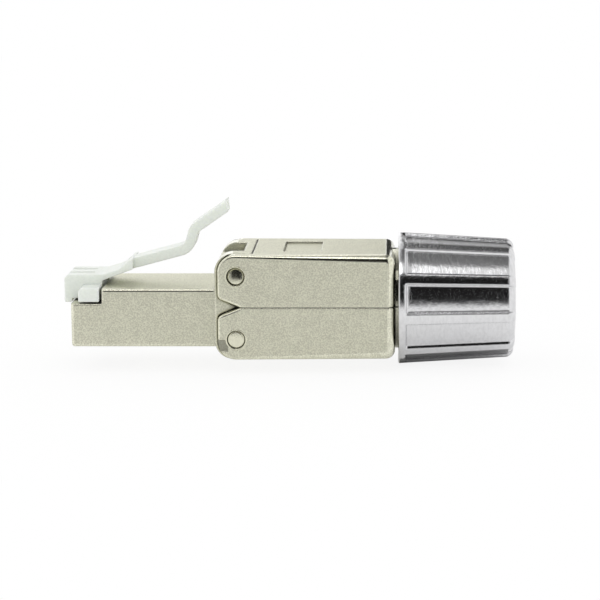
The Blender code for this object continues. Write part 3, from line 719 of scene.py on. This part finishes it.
class PLUG_OT_hinge_pins(bpy.types.Operator):
    """Turns the four hinge pins with their crowned ends, and the lip round each hole"""

    bl_idname = "plug.hinge_pins"
    bl_label = "Make hinge pins"

    def turned(self, name, centre, side, profile, closed, slant=0.0):
        """A profile of radius and depth behind the cover's face, turned round a pin's axis and leaned up."""
        shape = bmesh.new()
        rings = []
        for radius, depth in profile:
            ring = []
            for step in range(PIN_STEPS):
                turn = TAU * step / PIN_STEPS
                rise = radius * math.sin(turn)
                ring.append(shape.verts.new((centre.x + radius * math.cos(turn),
                                             side * (centre.y - depth - rise * math.tan(slant)),
                                             centre.z + rise)))
            rings.append(ring)
        loft(shape, rings, closed)
        return soften(mesh_object(name, shape), sharp=50)

    def execute(self, context):
        given = context.scene.plug_pins
        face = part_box("upper_cover")[1].y
        for label, recess, crown, slant in (
                ("upper", given.upper_recess, given.crown_height, given.face_slant),
                ("lower", given.lower_recess, given.lower_crown, 0.0)):
            for word, side in (("near", -1), ("far", 1)):
                node = f"{label}_hinge_pin_{word}"
                low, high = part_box(node)
                middle = (low + high) / 2
                radius = (high.x - low.x) / 2
                centre = Vector((middle.x, face, middle.z))
                inner = high.y - low.y + recess
                profile = []
                flat = radius - given.edge_round
                for step in range(1, CROWN_STEPS + 1):
                    share = step / CROWN_STEPS
                    profile.append((flat * share, recess + crown * share * share))
                for point in arc((flat, recess + crown + given.edge_round), given.edge_round, 270, 360,
                                 4)[1:]:
                    profile.append((point.x, point.y))
                profile.append((radius, inner))
                pin = self.turned(node + "_turned", centre, side, profile, False, slant)
                show(pin, "plug", "polished_nickel", "polished_nickel", node)
                hole = radius + given.hole_gap
                ring = []
                for point in arc((hole + given.lip_width / 2, 0), given.lip_width / 2, 180, 360, 8):
                    ring.append((point.x, point.y * given.lip_height * 2 / given.lip_width))
                ring += [(hole + given.lip_width, given.lip_width), (hole, given.lip_width)]
                lip = self.turned(f"{label}_hole_lip_{word}", centre, side, ring, True)
                show(lip, "plug", "satin_nickel", "polished_nickel")
        return {"FINISHED"}


class PLUG_OT_cap_nut(bpy.types.Operator):
    """Lofts the ribbed cap nut round its axis"""

    bl_idname = "plug.cap_nut"
    bl_label = "Make cap nut"

    def profile(self, given, front, rear):
        """Rings of the nut as place along X, radius, and how far the panels sink there."""
        front_round, rear_round = given.front_round, given.rear_round
        slope = (given.rear_radius - given.front_radius) / (rear - rear_round - front)

        def skin(x):
            return given.front_radius + slope * (x - front)

        rings = [(front, given.bore_radius, 0.0), (front, given.front_radius - front_round, 0.0)]
        for point in arc((front + front_round, given.front_radius - front_round), front_round, 170, 90, 4):
            rings.append((point.x, point.y, 0.0))
        panel_start = front + given.collar_length
        for share, sink in FLANK:
            x = panel_start + given.front_flank * share
            rings.append((x, skin(x), sink))
        round_start = rear - rear_round
        start = panel_start + given.front_flank
        for step in range(1, SIDE_STEPS):
            x = start + (round_start - panel_start - given.front_flank) * step / SIDE_STEPS
            rings.append((x, skin(x), 1.0))
        for point in arc((round_start, given.rear_radius - rear_round), rear_round, 90, 0, 12):
            rings.append((point.x, point.y, 1.0))
        lip = given.hole_radius + given.hole_round
        rings.append((rear, lip + (given.rear_radius - rear_round - lip) * END_REACH, END_REACH))
        for point in arc((rear - given.hole_round, lip), given.hole_round, 0, -90, 5):
            rings.append((point.x, point.y, 0.0))
        taper_end = front + given.bore_depth + given.taper_length
        return rings + [(taper_end, given.hole_radius, 0.0),
                        (front + given.bore_depth, given.bore_radius, 0.0)]

    def turns(self, given):
        """Angles round the nut, close together on the ribs' flanks, with how deep the panel is there."""
        pitch = TAU / given.rib_count
        crest = given.rib_width / 2
        flank = given.flank_width
        half = [(crest * step / CREST_STEPS, 0.0) for step in range(CREST_STEPS)]
        for share, sink in FLANK:
            half.append((crest + flank * share, sink))
        start = crest + flank
        half += [(start + (pitch / 2 - start) * step / PANEL_STEPS, 1.0)
                 for step in range(1, PANEL_STEPS + 1)]
        one = [(-turn, sink) for turn, sink in reversed(half[1:-1])] + half
        result = []
        for rib in range(given.rib_count):
            for turn, sink in one:
                result.append((given.rib_phase + rib * pitch + turn, sink))
        return result

    def execute(self, context):
        given = context.scene.plug_nut
        low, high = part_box("cap_nut")
        middle = (low + high) / 2
        rings = self.profile(given, low.x, high.x)
        turns = self.turns(given)
        shape = bmesh.new()
        grid = []
        for x, radius, reach in rings:
            row = []
            for turn, sink in turns:
                here = radius - given.panel_depth * reach * sink
                row.append(shape.verts.new((x, middle.y - here * math.cos(turn),
                                            middle.z + here * math.sin(turn))))
            grid.append(row)
        loft(shape, grid, closed=True)
        nut = soften(mesh_object("cap_nut_ribbed", shape), sharp=50)
        show(nut, "cap_nut", "bright_chrome", "bright_chrome", "cap_nut")
        return {"FINISHED"}


class PLUG_OT_latch(bpy.types.Operator):
    """Moulds the latch with its hooked block, side lugs, ramp and bent lever"""

    bl_idname = "plug.latch"
    bl_label = "Make latch"

    def ribbon(self, path, thickness, end_slant):
        """The anticlockwise outline of a strip along a path, its far end cut aslant."""
        upper, lower = [], []
        for index, point in enumerate(path):
            before = path[max(index - 1, 0)]
            after = path[min(index + 1, len(path) - 1)]
            along = (after - before).normalized()
            normal = Vector((-along.y, along.x)) * thickness / 2
            slant = along * end_slant if index == len(path) - 1 else Vector((0, 0))
            upper.append(point + normal + slant)
            lower.append(point - normal - slant)
        return lower + upper[::-1]

    def execute(self, context):
        given = context.scene.plug_latch
        low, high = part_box("latch")
        width = high.y - low.y
        top = given.block_top
        back = given.block_back
        foot = Vector((back + given.neck_length, top + given.foot_rise))
        head = foot + Vector((given.ramp_length, given.ramp_rise))
        shoulder = head.x + given.shoulder
        outline = rounded(
            ((low.x, low.z), (-given.hook_gap, low.z), (-given.hook_gap, given.block_base),
             (back, given.block_base), (back, given.root_height), (shoulder, head.y - given.shoulder_depth),
             (shoulder, head.y), (head.x, head.y), (foot.x, foot.y), (back, top),
             (low.x + given.front_chamfer, top), (low.x, top - given.front_chamfer)),
            (given.edge_radius, given.edge_radius, 0, given.base_radius, given.root_radius,
             given.crest_radius, given.crest_radius, given.head_radius, given.ramp_radius,
             given.ramp_radius, given.edge_radius, given.edge_radius))
        body = soft_plate("latch_moulding", outline, given.block_width, given.rim_radius)

        path = [Vector((shoulder - given.lever_lap, head.y - given.shoulder_depth / 2 - given.lever_drop))]
        for run, turn in ((given.lever_run, given.lever_rise), (given.bend_run, given.bend_rise),
                          (given.tip_run, given.tip_rise)):
            path.append(path[-1] + Vector((math.cos(turn), math.sin(turn))) * run)
        path = rounded(path, (0, given.lever_bend, given.tip_bend, 0), closed=False)
        lever = soft_plate("lever", self.ribbon(path, given.lever_thickness, given.tip_slant),
                           given.lever_width, given.rim_radius)
        lug_back = back - given.lug_inset
        lug_base = given.block_base + given.lug_inset
        lug_outline = rounded(
            ((lug_back - given.lug_length, lug_base), (lug_back, lug_base),
             (lug_back, lug_base + given.lug_height),
             (lug_back - given.lug_length, lug_base + given.lug_height)),
            (given.edge_radius, given.edge_radius, given.edge_radius, given.lug_radius))
        lugs = soft_plate("lugs", lug_outline, width, given.rim_radius)
        operations = [("UNION", lever), ("UNION", lugs)]
        for side in (-1, 1):
            middle = side * given.groove_spacing / 2
            half = given.groove_width / 2
            groove = soft_box(f"groove_{side}", (low.x - OVERCUT, middle - half, top - given.groove_depth),
                              (low.x + given.groove_length, middle + half, top + OVERCUT),
                              given.groove_round)
            operations.append(("DIFFERENCE", groove))
        combine(body, operations)
        flat_shading(soften(body, sharp=40))
        body.data.materials.clear()
        body.data.materials.append(finish_named("latch_plastic"))
        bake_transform(body)
        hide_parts("latch")
        return {"FINISHED"}


class PLUG_OT_inner_parts(bpy.types.Operator):
    """Gives the carrier, contacts, board, terminals and guides their finishes"""

    bl_idname = "plug.inner_parts"
    bl_label = "Finish inner parts"

    def execute(self, context):
        for name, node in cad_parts.items():
            finish = next((finish for start, finish in INNER_PARTS if name.startswith(start)), None)
            if finish:
                node.data.materials.clear()
                node.data.materials.append(finish_named(finish))
        return {"FINISHED"}


class PLUG_OT_stage(bpy.types.Operator):
    """Sets up the floor, the studio light and the camera"""

    bl_idname = "plug.stage"
    bl_label = "Set stage"

    def floor(self, given):
        low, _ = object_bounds()
        half = given.floor_size / 2
        shape = bmesh.new()
        bmesh.ops.create_grid(shape, x_segments=2, y_segments=2, size=half)
        for point in shape.verts:
            point.co.y = max(point.co.y, -given.floor_front)
        floor = mesh_object("floor", shape)
        floor.location = (0, 0, low[2] - given.floor_gap)
        paper, nodes = bare_material("white_paper")
        rays = nodes.add("ShaderNodeLightPath").outputs
        seen = nodes.math("MAXIMUM", nodes.math("MAXIMUM", rays["Is Camera Ray"], rays["Is Glossy Ray"]),
                          rays["Is Transmission Ray"])
        light = given.floor_light
        plain = nodes.add("ShaderNodeBsdfDiffuse", {"Color": (light, light, light, 1)}).outputs[0]
        extra = given.mirrored_shade - given.floor_shade
        shade = nodes.math("ADD", nodes.math("MULTIPLY", rays["Is Glossy Ray"], extra), given.floor_shade)
        faint = nodes.add("ShaderNodeBsdfDiffuse", {"Color": shade}).outputs[0]
        strength = nodes.math("SUBTRACT", 1.0, shade)
        glow = nodes.add("ShaderNodeEmission", {"Color": (1, 1, 1, 1), "Strength": strength}).outputs[0]
        white = nodes.add("ShaderNodeAddShader", {0: faint, 1: glow}).outputs[0]
        both = nodes.add("ShaderNodeMixShader", {0: seen, 1: plain, 2: white}).outputs[0]
        nodes.add("ShaderNodeOutputMaterial", {"Surface": both})
        floor.data.materials.append(paper)
        floor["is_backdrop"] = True

    def tent(self, given):
        """A round tent that the metal mirrors: dark panels in front and overhead, a strip light between."""
        shape = bmesh.new()
        rows = []
        steps = 90
        for step in range(steps + 1):
            turn = given.tent_start + (given.tent_end - given.tent_start) * step / steps
            y = -given.tent_radius * math.cos(turn)
            z = given.tent_radius * math.sin(turn)
            rows.append([shape.verts.new((x, y, z)) for x in (-given.tent_reach, given.tent_reach)])
        for first, second in zip(rows, rows[1:]):
            shape.faces.new((first[0], first[1], second[1], second[0]))
        tent = mesh_object("tent", shape)
        tent.visible_camera = False
        tent.visible_diffuse = False
        cloth, nodes = bare_material("tent_panels")
        where = nodes.add("ShaderNodeTexCoord").outputs["Object"]
        parts = nodes.add("ShaderNodeSeparateXYZ", {"Vector": where}).outputs
        rise = nodes.math("ARCTAN2", parts["Z"], nodes.math("MULTIPLY", parts["Y"], -1.0))
        share = nodes.math("ADD", nodes.math("DIVIDE", rise, TAU), 0.5)
        tops = max(value for _, value in HOUSING_PANELS + NUT_PANELS)
        tones = [nodes.ramp(share, [((turn + 180) / 360, value / tops) for turn, value in panels])
                 for panels in (HOUSING_PANELS, NUT_PANELS)]
        limit = nodes.span(parts["X"], given.key_start, given.key_end, given.key_high / tops,
                           given.key_low / tops)
        seam = nodes.span(parts["X"], given.seam_start, given.seam_end)
        tone = nodes.add("ShaderNodeMix", {"Factor": seam, 2: tones[0],
                                           3: nodes.math("MINIMUM", tones[1], limit)}).outputs[0]
        glow = nodes.add("ShaderNodeEmission", {"Color": tone, "Strength": tops}).outputs[0]
        nodes.add("ShaderNodeOutputMaterial", {"Surface": glow})
        tent.data.materials.append(cloth)
        tent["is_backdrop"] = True

    def card(self, name, corners, shade):
        """A dark card that only the metal mirrors."""
        shape = bmesh.new()
        shape.faces.new([shape.verts.new(corner) for corner in corners])
        card = mesh_object(name, shape)
        card.visible_camera = False
        card.visible_diffuse = False
        card.visible_shadow = False
        cloth = bpy.data.materials.new(name)
        cloth.use_nodes = True
        shader = cloth.node_tree.nodes["Principled BSDF"]
        shader.inputs["Base Color"].default_value = (shade, shade, shade, 1)
        shader.inputs["Roughness"].default_value = 1.0
        shader.inputs["Specular IOR Level"].default_value = 0.0
        card.data.materials.append(cloth)
        card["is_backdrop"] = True

    def cards(self, given):
        """A flag behind the nut, a painted dark reflection, and a painted shadow: a dark strip beneath the
        nut where its shadow is deepest.
        """
        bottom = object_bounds()[0][2] - given.floor_gap
        start, end, back = given.flag_start, given.flag_end, given.flag_distance
        self.card("flag", ((start, back, bottom), (end, back, bottom), (end, back, given.flag_height),
                           (start, back, given.flag_height)), given.flag_shade)
        # The painted shadow under the nut, which the chrome mirrors
        low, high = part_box("cap_nut")
        half = given.contact_shadow_width / 2
        height = bottom + given.floor_gap / 2
        self.card("contact", ((low.x, -half, height), (high.x, -half, height), (high.x, half, height),
                              (low.x, half, height)), given.contact_shadow_tone)

    def world(self, context):
        """A plain white world, which is both the backdrop and the light."""
        world = bpy.data.worlds.new("studio")
        context.scene.world = world
        world.use_nodes = True
        tree = world.node_tree
        tree.nodes.clear()
        nodes = Nodes(tree)
        white = nodes.add("ShaderNodeBackground", {"Color": (1, 1, 1, 1), "Strength": 1.0}).outputs[0]
        nodes.add("ShaderNodeOutputWorld", {"Surface": white})

    def camera(self, context, given):
        data = bpy.data.cameras.new("camera")
        data.lens = given.camera_lens
        data.sensor_width = 36
        data.shift_x = given.camera_shift
        data.clip_start = 0.01
        camera = link(bpy.data.objects.new("camera", data))
        camera.location = given.camera_place
        camera.rotation_euler = (math.pi / 2 - given.camera_pitch, 0, 0)
        context.scene.camera = camera

    def execute(self, context):
        given = context.scene.plug_stage
        self.floor(given)
        self.tent(given)
        self.cards(given)
        self.world(context)
        self.camera(context, given)
        context.scene.view_settings.view_transform = "Standard"
        return {"FINISHED"}


class PLUG_PT_panel(bpy.types.Panel):
    bl_label = "Field termination plug"
    bl_idname = "PLUG_PT_panel"
    bl_space_type = "VIEW_3D"
    bl_region_type = "UI"
    bl_category = "Plug"

    def draw(self, context):
        for label, group, operators in PANEL_ROWS:
            box = self.layout.box()
            box.label(text=label)
            settings = getattr(context.scene, group)
            for name in settings.__annotations__:
                box.prop(settings, name)
            for operator in operators:
                box.operator(operator)


PANEL_ROWS = (
    ("Finishes", "plug_finishes", ("plug.finishes", "plug.shells", "plug.inner_parts")),
    ("Cap nut", "plug_nut", ("plug.cap_nut",)),
    ("Latch", "plug_latch", ("plug.latch",)),
    ("Hinge pins", "plug_pins", ("plug.hinge_pins",)),
    ("Stage", "plug_stage", ("plug.stage",)),
)
SETTINGS = {"plug_finishes": PlugFinishes, "plug_nut": PlugNut, "plug_latch": PlugLatch,
            "plug_pins": PlugPins, "plug_stage": PlugStage}
CLASSES = (*SETTINGS.values(), PLUG_OT_finishes, PLUG_OT_shells, PLUG_OT_hinge_pins, PLUG_OT_cap_nut,
           PLUG_OT_latch, PLUG_OT_inner_parts, PLUG_OT_stage, PLUG_PT_panel)


def register():
    for kind in CLASSES:
        bpy.utils.register_class(kind)
    for name, kind in SETTINGS.items():
        setattr(bpy.types.Scene, name, bpy.props.PointerProperty(type=kind))


def unregister():
    for name in SETTINGS:
        delattr(bpy.types.Scene, name)
    for kind in reversed(CLASSES):
        bpy.utils.unregister_class(kind)


def main():
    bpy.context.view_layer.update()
    register()
    bpy.ops.plug.finishes()
    bpy.ops.plug.shells()
    bpy.ops.plug.hinge_pins()
    bpy.ops.plug.cap_nut()
    bpy.ops.plug.latch()
    bpy.ops.plug.inner_parts()
    bpy.ops.plug.stage()


if __name__ == "__main__":
    main()
